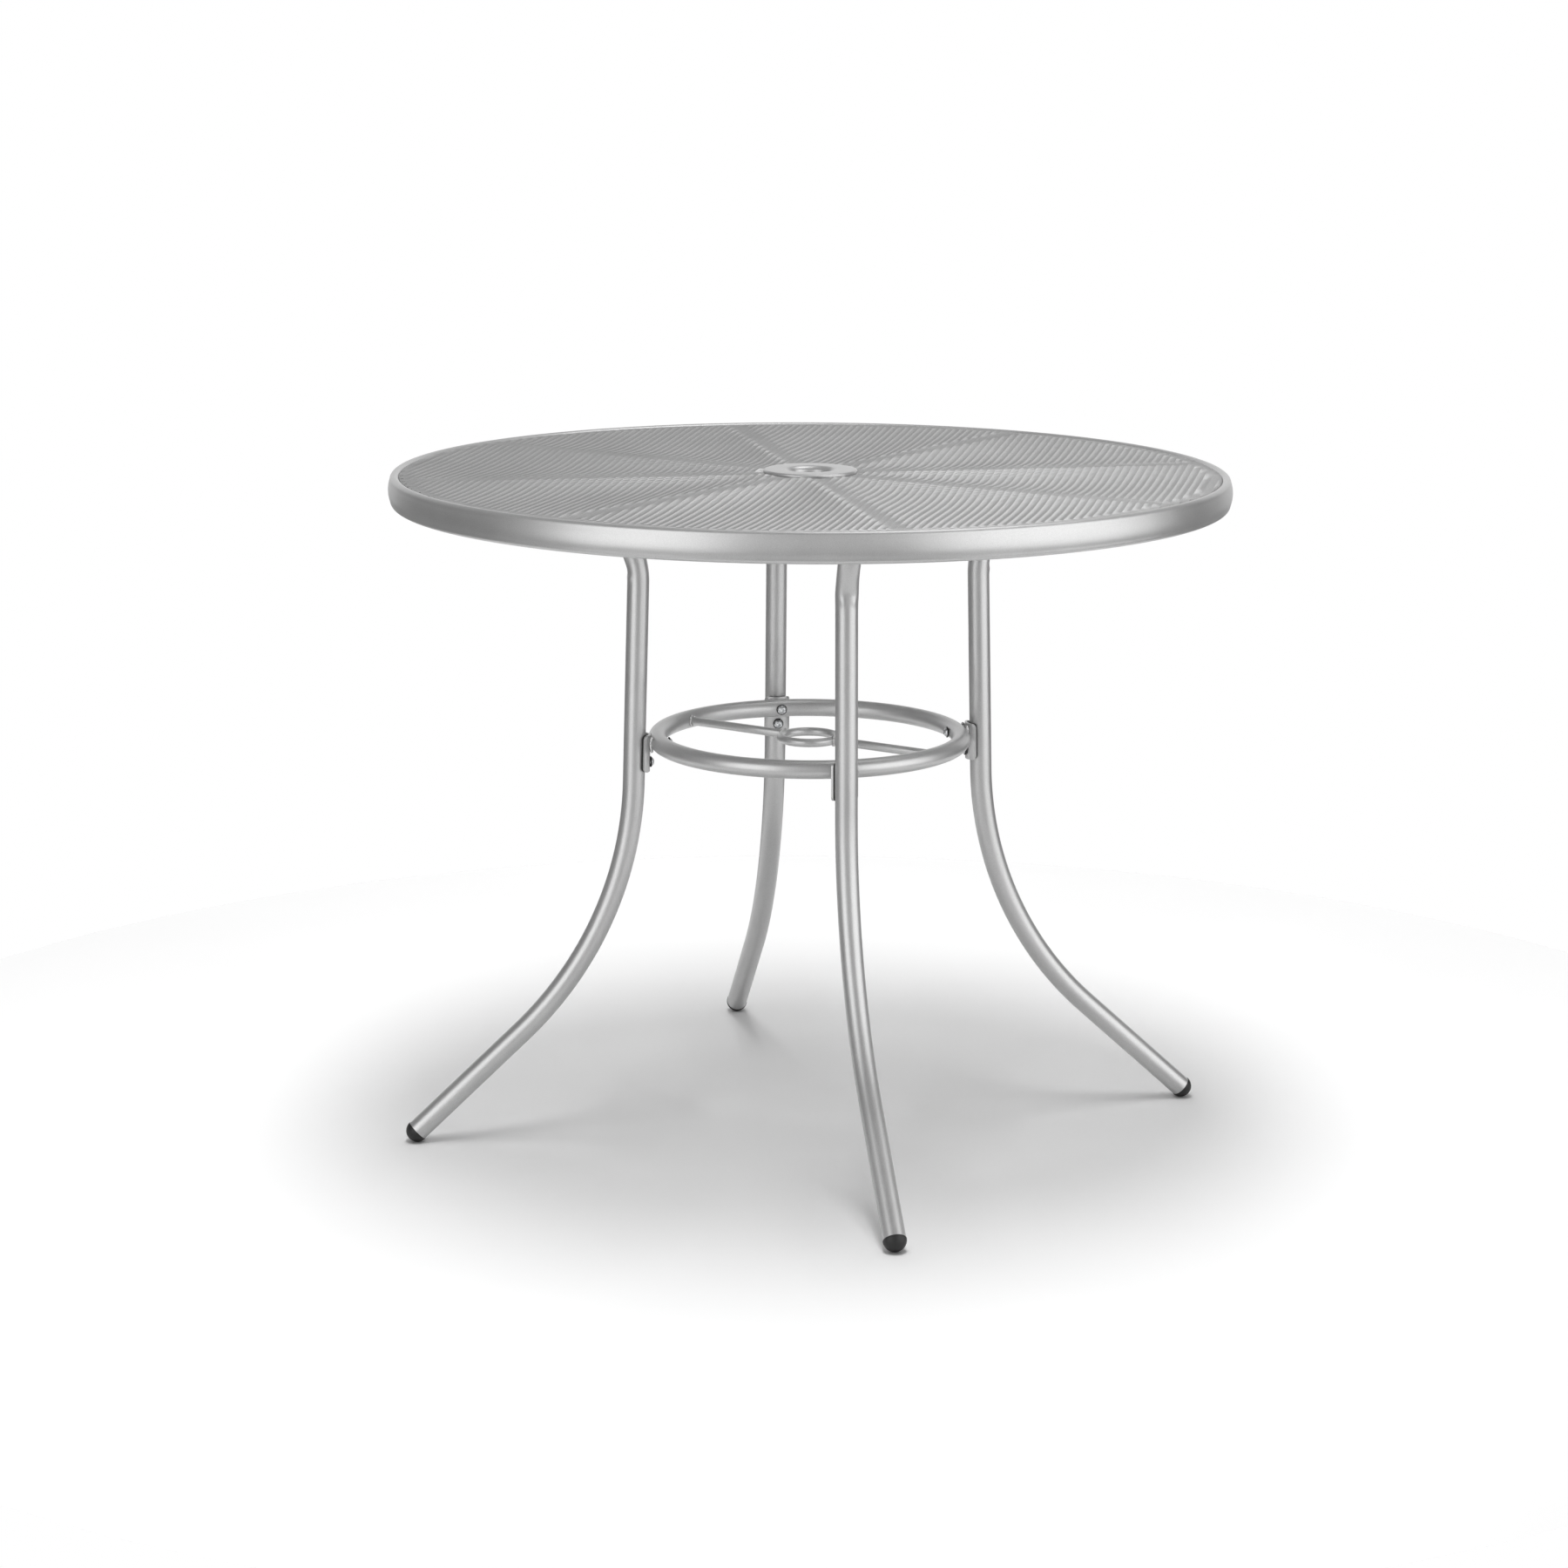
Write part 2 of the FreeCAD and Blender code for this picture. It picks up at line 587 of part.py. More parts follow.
def all_parts():
    parts = {
        "rim_band": make_rim_band(),
        "inner_hoop": make_inner_hoop(),
        "mesh_top": make_mesh_top(),
        "hub_plate": make_hub_plate(),
        "hub_collar": make_hub_collar(),
        "brace_ring": make_brace_ring(),
        "guide_ring": make_guide_ring(),
    }
    for index in range(RIB_COUNT):
        azimuth = index * 360.0 / RIB_COUNT
        parts["rib_%03d" % azimuth] = make_rib(azimuth)
    for side, azimuth in CROSSBAR_AZIMUTHS.items():
        parts["crossbar_" + side] = make_crossbar(azimuth)
    leg = make_leg()
    foot_cap = make_foot_cap()
    arm_plug = make_arm_plug()
    bracket = make_bracket()
    bracket_pad = make_bracket_pad()
    for side, azimuth in LEG_AZIMUTHS.items():
        parts["leg_" + side] = turned(leg, azimuth)
        parts["foot_cap_" + side] = turned(foot_cap, azimuth)
        parts["arm_plug_" + side] = turned(arm_plug, azimuth)
        parts["bracket_" + side] = turned(bracket, azimuth)
        parts["bracket_pad_" + side] = turned(bracket_pad, azimuth)
    for name, solids in fastener_groups().items():
        parts[name] = Part.makeCompound(solids)
    return parts


for name, shape in all_parts().items():
    shape.exportStep("parts/" + name + ".step")
    print(name, "solids", len(shape.Solids), "volume", round(shape.Volume), "valid", shape.isValid())
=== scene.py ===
# %% [markdown]
# # A round garden table with a mesh top
#
# The table is a steel hoop with expanded mesh stretched inside it, a pressed plate with a hole
# for an umbrella pole, four bent tube legs, and a brace ring halfway up with a small ring that
# guides the pole. Each cell below makes one kind of piece. The solids of the same table are
# loaded first, so every new piece can be built straight in its final place, in metres, with
# z = 0 on the floor and the umbrella hole on the Z axis. The front leg stands towards -Y.

# %% Load the solids and remember their box
import bpy
import bmesh
import random
import numpy as np
from math import cos, pi, radians, sin, sqrt, tan
from mathutils import Euler, Matrix, Vector


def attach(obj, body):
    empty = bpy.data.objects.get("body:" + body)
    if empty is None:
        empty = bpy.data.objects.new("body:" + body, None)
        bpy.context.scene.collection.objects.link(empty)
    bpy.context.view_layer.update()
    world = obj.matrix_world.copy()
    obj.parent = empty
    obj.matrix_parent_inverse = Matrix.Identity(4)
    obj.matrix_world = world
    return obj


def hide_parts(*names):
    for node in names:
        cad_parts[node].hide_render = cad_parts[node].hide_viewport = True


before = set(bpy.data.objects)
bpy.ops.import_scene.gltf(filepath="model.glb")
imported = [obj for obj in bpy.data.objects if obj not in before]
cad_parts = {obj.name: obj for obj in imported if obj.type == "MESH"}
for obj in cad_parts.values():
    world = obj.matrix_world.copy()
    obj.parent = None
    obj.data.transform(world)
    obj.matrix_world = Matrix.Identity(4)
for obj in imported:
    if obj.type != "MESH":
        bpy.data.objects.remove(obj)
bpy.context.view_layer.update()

BODY = "root"
LEG_SIDES = {"front": -90.0, "right": 0.0, "back": 90.0, "left": 180.0}
print("nodes", len(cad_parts))

# %% [markdown]
# ## The camera
#
# The picture was taken from a little left of the front leg and well above the table, so the top
# is a flat ellipse. A long lens from 3.8 m away gives the same gentle perspective. The roll of a
# third of a degree is the one that fits the rim, the brace ring and the legs together.

# %% Place the camera
CAMERA_PLACE = (-0.7606, -3.6893, 1.2290)
CAMERA_HEADING = 78.332
CAMERA_DOWN = 12.448
CAMERA_ROLL = 0.0051
LENS = 79.86
PICTURE_SIZE = 1800
PICTURE_SHIFT = (-30.0, -10.0)

camera_data = bpy.data.cameras.new("camera")
camera = bpy.data.objects.new("camera", camera_data)
bpy.context.scene.collection.objects.link(camera)
camera_data.lens = LENS
camera_data.sensor_width = 36.0
camera_data.shift_x = PICTURE_SHIFT[0] / PICTURE_SIZE
camera_data.shift_y = PICTURE_SHIFT[1] / PICTURE_SIZE
camera_data.clip_start = 0.05
camera_data.clip_end = 100.0
turns = Euler((radians(90 - CAMERA_DOWN), 0, radians(CAMERA_HEADING - 90)))
facing = turns.to_matrix().to_4x4()
roll = Matrix.Rotation(CAMERA_ROLL, 4, "Z")
camera.matrix_world = Matrix.Translation(CAMERA_PLACE) @ facing @ roll
bpy.context.scene.camera = camera
bpy.context.scene.view_settings.view_transform = "Standard"
print("camera", [round(v, 3) for v in camera.matrix_world.translation])

# %% [markdown]
# ## Helpers for working as by hand
#
# Blender's operators act on whatever is selected, so each step starts by clearing the selection
# and then selects what it needs by place. `pick` does in code what a hand does with a box
# select: it tests the middle of each vertex, edge or face.

# %% Selecting and editing
MERGE = 0.00001


def deselect_everything():
    if bpy.context.mode != "OBJECT":
        bpy.ops.object.mode_set(mode="OBJECT")
    bpy.ops.object.select_all(action="DESELECT")


def make_active(piece):
    deselect_everything()
    piece.select_set(True)
    bpy.context.view_layer.objects.active = piece


def edit(piece):
    make_active(piece)
    bpy.ops.object.mode_set(mode="EDIT")
    bpy.ops.mesh.select_mode(type="VERT")
    bpy.ops.mesh.select_all(action="DESELECT")


def stop_editing():
    bpy.ops.object.mode_set(mode="OBJECT")


def middle(element):
    if isinstance(element, bmesh.types.BMVert):
        return element.co.copy()
    return sum((v.co for v in element.verts), Vector()) / len(element.verts)


def pick(piece, kind, test):
    """Select the vertices, edges or faces whose middle passes the test."""
    bpy.ops.mesh.select_mode(type=kind)
    bpy.ops.mesh.select_all(action="DESELECT")
    shape = bmesh.from_edit_mesh(piece.data)
    elements = {"VERT": shape.verts, "EDGE": shape.edges, "FACE": shape.faces}[kind]
    for element in elements:
        if test(middle(element)):
            element.select_set(True)
    shape.select_flush_mode()
    bmesh.update_edit_mesh(piece.data)


def apply_modifier(piece, kind, **settings):
    """Add a modifier, set it and apply it."""
    make_active(piece)
    bpy.ops.object.modifier_add(type=kind)
    modifier = piece.modifiers[-1]
    for key, value in settings.items():
        setattr(modifier, key, value)
    bpy.ops.object.modifier_apply(modifier=modifier.name)


def clean_normals(piece):
    """Merge doubled vertices, then turn every face outwards."""
    edit(piece)
    bpy.ops.mesh.select_all(action="SELECT")
    bpy.ops.mesh.remove_doubles(threshold=MERGE)
    bpy.ops.mesh.normals_make_consistent(inside=False)
    stop_editing()


# %% [markdown]
# ## Finishing and copying
#
# A finished piece has its place in its mesh, one material, and rides on the table's only body.
# Where it stands for a solid, it replaces that solid. What repeats round the table is modelled
# once, on the +X side, and copied with a mesh of its own for each place.

# %% Finish, copy and join
def finish_piece(piece, name, material, nodes=(), smooth_below=35.0):
    make_active(piece)
    bpy.ops.object.transform_apply(location=True, rotation=True, scale=True)
    bpy.ops.object.shade_smooth_by_angle(angle=radians(smooth_below))
    piece.name = name
    piece.data.name = name
    piece.data.materials.clear()
    piece.data.materials.append(material)
    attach(piece, BODY)
    if nodes:
        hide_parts(*nodes)
    return piece


def copy_of(piece):
    twin = piece.copy()
    twin.data = piece.data.copy()
    bpy.context.scene.collection.objects.link(twin)
    return twin


def turned_copy(piece, azimuth):
    """A copy turned about the umbrella hole's axis, with the turn in its mesh."""
    twin = copy_of(piece)
    twin.data.transform(Matrix.Rotation(radians(azimuth), 4, "Z"))
    return twin


def remove(piece):
    mesh = piece.data
    bpy.data.objects.remove(piece)
    if mesh.users == 0:
        bpy.data.meshes.remove(mesh)


def join(pieces):
    deselect_everything()
    for piece in pieces:
        piece.select_set(True)
    bpy.context.view_layer.objects.active = pieces[0]
    bpy.ops.object.join()
    return pieces[0]


def rounded_copy(node, edge_radius, name, material):
    """A copy of a solid whose sharp edges are broken by a small bevel."""
    piece = copy_of(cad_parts[node])
    piece.hide_render = False
    piece.parent = None
    piece.matrix_world = Matrix.Identity(4)
    edit(piece)
    bpy.ops.mesh.select_all(action="SELECT")
    bpy.ops.mesh.remove_doubles(threshold=0.000005)
    bpy.ops.mesh.dissolve_limited(angle_limit=radians(1.0))
    stop_editing()
    apply_modifier(piece, "BEVEL", width=edge_radius, segments=2, limit_method="ANGLE",
                   angle_limit=radians(35.0), use_clamp_overlap=True)
    return finish_piece(piece, name, material, (node,))


# %% [markdown]
# ## The silver powder coat
#
# The frame is steel with a satin silver powder coat: a grey paint full of fine metal flakes,
# with the faint orange peel that melted powder leaves. It could be plain grey metal, but it
# would look like chrome or plastic. So a fine noise makes flakes, a broad one makes the coat a
# little uneven, and a low bump makes the orange peel.

# %% Silver powder coat
def new_material(name):
    material = bpy.data.materials.new(name)
    material.use_nodes = True
    tree = material.node_tree
    surface = tree.nodes["Principled BSDF"]
    place = tree.nodes.new("ShaderNodeTexCoord")
    return material, tree, surface, place


def noise(tree, place, scale, detail=2.0, roughness=0.5):
    node = tree.nodes.new("ShaderNodeTexNoise")
    node.inputs["Scale"].default_value = scale
    node.inputs["Detail"].default_value = detail
    node.inputs["Roughness"].default_value = roughness
    tree.links.new(place.outputs["Object"], node.inputs["Vector"])
    return node.outputs["Fac"]


def spread(tree, value, low, high, start=0.3, end=0.7):
    """Map the useful middle of a noise to a range of numbers."""
    node = tree.nodes.new("ShaderNodeMapRange")
    node.inputs["From Min"].default_value = start
    node.inputs["From Max"].default_value = end
    node.inputs["To Min"].default_value = low
    node.inputs["To Max"].default_value = high
    tree.links.new(value, node.inputs["Value"])
    return node.outputs["Result"]


def calculate(tree, operation, first, second):
    node = tree.nodes.new("ShaderNodeMath")
    node.operation = operation
    for index, value in enumerate((first, second)):
        if isinstance(value, (int, float)):
            node.inputs[index].default_value = value
        else:
            tree.links.new(value, node.inputs[index])
    return node.outputs["Value"]


def blend_colours(tree, share, first, second):
    node = tree.nodes.new("ShaderNodeMix")
    node.data_type = "RGBA"
    tree.links.new(share, node.inputs["Factor"])
    node.inputs["A"].default_value = (*first, 1.0)
    node.inputs["B"].default_value = (*second, 1.0)
    return node.outputs["Result"]


def bump(tree, height, distance, strength, after=None):
    node = tree.nodes.new("ShaderNodeBump")
    node.inputs["Distance"].default_value = distance
    node.inputs["Strength"].default_value = strength
    tree.links.new(height, node.inputs["Height"])
    if after is not None:
        tree.links.new(after, node.inputs["Normal"])
    return node.outputs["Normal"]


FLAKE_SCALE = 1500.0
PATCH_SCALE = 9.0
PEEL_SCALE = 420.0


def grey(level):
    return (level, level, level)


def painted_steel(name, dark, light, metallic, roughness, peel, patchy=0.25):
    """Silver paint: dark and light are the flakes' greys, peel the bump's strength."""
    material, tree, surface, place = new_material(name)
    flakes = noise(tree, place, FLAKE_SCALE, 3.0, 0.7)
    patches = noise(tree, place, PATCH_SCALE, 4.0, 0.6)
    fine_share = calculate(tree, "MULTIPLY", spread(tree, flakes, 0.0, 1.0), 1.0 - patchy)
    broad_share = calculate(tree, "MULTIPLY", spread(tree, patches, 0.0, 1.0), patchy)
    grain = calculate(tree, "ADD", fine_share, broad_share)
    colour = blend_colours(tree, grain, grey(dark), grey(light))
    tree.links.new(colour, surface.inputs["Base Color"])
    surface.inputs["Metallic"].default_value = metallic
    rough = spread(tree, patches, roughness - 0.03, roughness + 0.04)
    tree.links.new(rough, surface.inputs["Roughness"])
    orange_peel = bump(tree, noise(tree, place, PEEL_SCALE, 2.0), 0.0002, peel)
    fine = bump(tree, flakes, 0.00005, peel, orange_peel)
    tree.links.new(fine, surface.inputs["Normal"])
    return material


silver = painted_steel("silver_powder_coat", 0.46, 0.64, metallic=0.72, roughness=0.38, peel=0.25)
print("material", silver.name)

# %% [markdown]
# ## The other finishes
#
# The mesh has the same paint, but it is thin, edgy and a little duller, because powder builds up
# on the strands' edges. The weld beads are glossier and lumpy. The caps, pads and screw washers
# are moulded black plastic with a fine spark-eroded grain. The screws and bolts are zinc plated,
# which is a cool, slightly cloudy metal.

# %% Mesh, weld, plastic and zinc
mesh_silver = painted_steel("silver_mesh_coat", 0.44, 0.62, metallic=0.70, roughness=0.43, peel=0.3,
                            patchy=0.06)
weld_silver = painted_steel("silver_over_weld", 0.48, 0.70, metallic=0.75, roughness=0.24, peel=0.8)


def moulded_plastic(name, dark, light, roughness):
    material, tree, surface, place = new_material(name)
    cloud = noise(tree, place, 60.0, 4.0, 0.6)
    colour = blend_colours(tree, spread(tree, cloud, 0.0, 1.0), dark, light)
    tree.links.new(colour, surface.inputs["Base Color"])
    rough = spread(tree, cloud, roughness - 0.06, roughness + 0.08)
    tree.links.new(rough, surface.inputs["Roughness"])
    sparks = bump(tree, noise(tree, place, 1400.0, 2.0), 0.0001, 0.35)
    tree.links.new(sparks, surface.inputs["Normal"])
    return material


def zinc_plate(name, dark, light, roughness):
    material, tree, surface, place = new_material(name)
    cloud = noise(tree, place, 350.0, 4.0, 0.65)
    colour = blend_colours(tree, spread(tree, cloud, 0.0, 1.0), dark, light)
    tree.links.new(colour, surface.inputs["Base Color"])
    surface.inputs["Metallic"].default_value = 1.0
    rough = spread(tree, cloud, roughness - 0.06, roughness + 0.1)
    tree.links.new(rough, surface.inputs["Roughness"])
    grain = bump(tree, noise(tree, place, 2200.0, 2.0), 0.00005, 0.3)
    tree.links.new(grain, surface.inputs["Normal"])
    return material


black_plastic = moulded_plastic("black_plastic", grey(0.006), grey(0.014), 0.5)
zinc = zinc_plate("zinc_plated_steel", (0.46, 0.47, 0.48), (0.68, 0.69, 0.70), 0.27)
print("materials", [m.name for m in (mesh_silver, weld_silver, black_plastic, zinc)])

# %% [markdown]
# ## The rim
#
# The rim is an oval tube, 32 mm deep and 12 mm wide, bent into a hoop, with a slight belly
# outside. It could be a beveled curve, but a section that is drawn once and spun round the axis
# shows plainly how it is made. A plane becomes the section: its corners are rounded, its outer
# side is divided and pushed out in an arc, its face goes, and the outline is spun.

# %% Make the rim
TABLE_RADIUS = 0.457
RIM_TOP = 0.737
RIM_DEPTH = 0.032
RIM_INSIDE = 0.445
RIM_CORNER = 0.005
RIM_BULGE = 0.002
NEAR = 1e-5


def make_rim():
    flat_outside = TABLE_RADIUS - RIM_BULGE
    centre = ((RIM_INSIDE + flat_outside) / 2, 0, RIM_TOP - RIM_DEPTH / 2)
    bpy.ops.mesh.primitive_plane_add(size=1.0, location=centre, rotation=(radians(90), 0, 0))
    rim = bpy.context.object
    rim.scale = (flat_outside - RIM_INSIDE, RIM_DEPTH, 1)
    bpy.ops.object.transform_apply(location=True, rotation=True, scale=True)
    edit(rim)
    bpy.ops.mesh.select_all(action="SELECT")
    bpy.ops.mesh.bevel(offset=RIM_CORNER * 0.9999, segments=7, affect="VERTICES")
    pick(rim, "EDGE", lambda p: p.x > flat_outside - NEAR)
    bpy.ops.mesh.subdivide(number_cuts=9)
    stop_editing()
    half = RIM_DEPTH / 2 - RIM_CORNER
    for vertex in rim.data.vertices:
        if vertex.co.x > flat_outside - NEAR:
            share = (vertex.co.z - centre[2]) / half
            vertex.co.x += RIM_BULGE * max(0.0, 1 - share ** 2)
    edit(rim)
    bpy.ops.mesh.select_all(action="SELECT")
    bpy.ops.mesh.delete(type="ONLY_FACE")
    bpy.ops.mesh.select_all(action="SELECT")
    bpy.ops.mesh.remove_doubles(threshold=MERGE)
    bpy.ops.mesh.select_all(action="SELECT")
    bpy.ops.mesh.spin(steps=288, angle=2 * pi, center=(0, 0, 0), axis=(0, 0, 1))
    stop_editing()
    clean_normals(rim)
    return finish_piece(rim, "rim_tube", silver, ("rim_band",))


deselect_everything()
rim = make_rim()
print("rim faces", len(rim.data.polygons))

# %% [markdown]
# ## The expanded mesh
#
# Expanded mesh is a sheet that was slit and pulled open, so its diamonds share every strand and
# each strand leans. An image of diamonds would lie flat in the low light across the top, so the
# strands are modelled. One diamond frame is made: a four-cornered disc, inset and emptied. Its
# near inner corner is raised and its far one lowered, which makes each strand lean. Arrays
# repeat it, the copies are merged, and the sheet is cut round, thickened and draped.
#
# The diamonds' long way lies 22.5 degrees from the X axis, as in the picture.

# %% Size of the mesh
LONG_WAY = 0.0169
SHORT_WAY = 0.0060
STRAND = 0.0018
STRAND_LEAN = 0.00090
STRAND_THICKNESS = 0.0008
MESH_TURN = -22.5
MESH_EDGE = 0.4448
MESH_HOLE = 0.027
MESH_BOTTOM = 0.7342
MESH_SAG = 0.006
RIB_COUNT = 8
RIB_WIDTH = 0.016


def make_diamond():
    bpy.ops.mesh.primitive_circle_add(vertices=4, radius=1.0, fill_type="NGON")
    diamond = bpy.context.object
    diamond.scale = (LONG_WAY / 2, SHORT_WAY / 2, 1)
    bpy.ops.object.transform_apply(scale=True)
    edit(diamond)
    bpy.ops.mesh.select_all(action="SELECT")
    bpy.ops.mesh.inset(thickness=STRAND / 2)
    bpy.ops.mesh.delete(type="FACE")
    inner = SHORT_WAY / 2 - STRAND * 0.3
    pick(diamond, "VERT", lambda p: abs(p.x) < NEAR and -inner < p.y < 0)
    bpy.ops.transform.translate(value=(0, 0, STRAND_LEAN))
    pick(diamond, "VERT", lambda p: abs(p.x) < NEAR and 0 < p.y < inner)
    bpy.ops.transform.translate(value=(0, 0, -STRAND_LEAN))
    stop_editing()
    return diamond


def array(piece, count, step):
    apply_modifier(piece, "ARRAY", count=count, use_relative_offset=False,
                   use_constant_offset=True, constant_offset_displace=step)


def make_flat_sheet():
    sheet = make_diamond()
    across = int(2 * MESH_EDGE / LONG_WAY) + 4
    along = int(2 * MESH_EDGE / SHORT_WAY) + 4
    array(sheet, across, (LONG_WAY, 0, 0))
    array(sheet, along, (0, SHORT_WAY, 0))
    between = copy_of(sheet)
    between.location = (LONG_WAY / 2, SHORT_WAY / 2, 0)
    sheet = join([sheet, between])
    sheet.location = (-(across // 2) * LONG_WAY, -(along // 2) * SHORT_WAY, 0)
    make_active(sheet)
    bpy.ops.object.transform_apply(location=True)
    sheet.rotation_euler.z = radians(MESH_TURN)
    bpy.ops.object.transform_apply(rotation=True)
    edit(sheet)
    bpy.ops.mesh.select_all(action="SELECT")
    bpy.ops.mesh.remove_doubles(threshold=0.0002)
    stop_editing()
    return sheet


deselect_everything()
sheet = make_flat_sheet()
print("flat sheet vertices", len(sheet.data.vertices), "faces", len(sheet.data.polygons))

# %% [markdown]
# ### Cutting it round
#
# The sheet is trimmed to the hoop and to the hole under the hub plate. Frames that lie wholly
# outside are deleted, and the corners of the ones that cross the line are slid onto it, which is
# how a shear leaves them: every strand ends on the edge and none stands past it.
#
# Then the sheet gets its thickness and is laid on the ribs. It hangs a little between them, and it
# is pressed flatter where the hub plate, the hoop and the ribs hold it. Flatter strands catch less
# light, which draws the eight dark lines that run from the hub to the rim in the picture.

# %% Trim, thicken and drape
SAG_STARTS = 0.056
SAG_ENDS = 0.442
SAG_FULLNESS = 0.8
HUB_PRESSED_TO = 0.0545
HUB_PRESS_FADE = 0.0025
HOOP_PRESSED_FROM = 0.432
HOOP_PRESS_FADE = 0.006
RIB_PRESSED_TO = 0.0135
RIB_PRESS_FADE = 0.007
PRESSED_BY_HUB = 0.56
PRESSED_BY_HOOP = 0.5
PRESSED_BY_RIB = 0.36
SECTOR = 2 * pi / RIB_COUNT


def vertex_array(mesh):
    places = np.empty(len(mesh.vertices) * 3)
    mesh.vertices.foreach_get("co", places)
    return places.reshape(-1, 3)


def store_vertices(mesh, places):
    mesh.vertices.foreach_set("co", places.ravel())
    mesh.update()


def trim_round(sheet):
    mesh = sheet.data
    places = vertex_array(mesh)
    radius = np.hypot(places[:, 0], places[:, 1])
    edit(sheet)
    shape = bmesh.from_edit_mesh(mesh)
    bpy.ops.mesh.select_mode(type="FACE")
    for face in shape.faces:
        reach = [radius[v.index] for v in face.verts]
        face.select_set(bool(min(reach) > MESH_EDGE - 0.0002 or max(reach) < MESH_HOLE))
    bmesh.update_edit_mesh(mesh)
    bpy.ops.mesh.delete(type="FACE")
    stop_editing()
    places = vertex_array(mesh)
    radius = np.hypot(places[:, 0], places[:, 1])
    wanted = np.clip(radius, MESH_HOLE, MESH_EDGE)
    places[:, :2] *= (wanted / radius)[:, None]
    store_vertices(mesh, places)
    edit(sheet)
    bpy.ops.mesh.select_all(action="SELECT")
    bpy.ops.mesh.remove_doubles(threshold=0.0001)
    stop_editing()


def sag_at(x, y):
    """How far the sheet hangs below the ribs: nothing on a rib, the most halfway between two."""
    radius = np.hypot(x, y)
    rib_edge = np.arcsin(np.clip(RIB_WIDTH / 2 / np.maximum(radius, 0.02), 0, 1))
    angle = np.mod(np.arctan2(y, x), SECTOR)
    across = np.clip((angle - rib_edge) / np.maximum(SECTOR - 2 * rib_edge, 1e-6), 0, 1)
    out = np.clip((radius - SAG_STARTS) / (SAG_ENDS - SAG_STARTS), 0, 1)
    return MESH_SAG * 4 * across * (1 - across) * np.sin(pi * out) ** SAG_FULLNESS


def relief_left(x, y):
    """The share of the strands' relief that is left where the sheet is held down."""
    radius = np.hypot(x, y)
    at_hub = np.clip((HUB_PRESSED_TO - radius) / HUB_PRESS_FADE, 0, 1)
    at_hoop = np.clip((radius - HOOP_PRESSED_FROM) / HOOP_PRESS_FADE, 0, 1)
    off_rib = radius * np.sin(np.abs(np.mod(np.arctan2(y, x) + SECTOR / 2, SECTOR) - SECTOR / 2))
    at_rib = np.clip((RIB_PRESSED_TO - off_rib) / RIB_PRESS_FADE, 0, 1)
    at_rib = at_rib * (1 - at_hub) * (1 - at_hoop)
    return 1 - PRESSED_BY_HUB * at_hub - PRESSED_BY_HOOP * at_hoop - PRESSED_BY_RIB * at_rib


trim_round(sheet)
apply_modifier(sheet, "SOLIDIFY", thickness=STRAND_THICKNESS, offset=0.0, use_even_offset=False)
places = vertex_array(sheet.data)
x, y, z = places.T
places[:, 2] = (z - z.min()) * relief_left(x, y) + MESH_BOTTOM
places[:, 2] -= sag_at(x, y)
store_vertices(sheet.data, places)
print("draped sheet", len(sheet.data.polygons), "faces, z", round(z.min(), 4), round(z.max(), 4))

# %% [markdown]
# ### Four quarters
#
# The sheet has far more faces than any other piece. It is split into four quarters, which keeps
# each a size that every tool can open. Nobody sees the splits, because the faces stay where
# they are.

# %% Split the sheet
def split_off(sheet, side_x, side_y):
    """Cut the quarter on this side of both axes off the sheet."""
    edit(sheet)
    pick(sheet, "FACE", lambda p: p.x * side_x >= 0 and p.y * side_y >= 0)
    bpy.ops.mesh.separate(type="SELECTED")
    stop_editing()
    return [o for o in bpy.context.selected_objects if o != sheet][0]


quarters = {
    "back_right": split_off(sheet, 1, 1),
    "back_left": split_off(sheet, -1, 1),
    "front_left": split_off(sheet, -1, -1),
    "front_right": sheet,
}
for side, quarter in quarters.items():
    finish_piece(quarter, "mesh_" + side, mesh_silver, ("mesh_top",),
                 smooth_below=12.0)
    print("mesh quarter", side, len(quarter.data.polygons))

# %% [markdown]
# ## The hub plate
#
# A pressed steel disc sits on the mesh and rolls down into the neck of the umbrella hole. A
# circle is raised, drawn in and lowered again by extruding, its two rims are rounded by bevels
# of different sizes, and a solidify modifier turns the skin into 2 mm sheet.

# %% Make the hub plate
HUB_RADIUS = 0.051
HUB_CROWN = 0.739
HUB_FOOT = 0.7354
HUB_EDGE_ROUND = 0.0022
HOLE_RADIUS = 0.022
LIP_RADIUS = 0.007
NECK_BOTTOM = 0.716
SHEET_STEEL = 0.002


def extrude_by(step):
    bpy.ops.mesh.extrude_region_move(TRANSFORM_OT_translate={"value": tuple(step)})


def on_circle(radius, height, slack=0.0003):
    """A test for what lies on this circle round the axis."""
    return lambda p: abs(p.xy.length - radius) < slack and abs(p.z - height) < slack


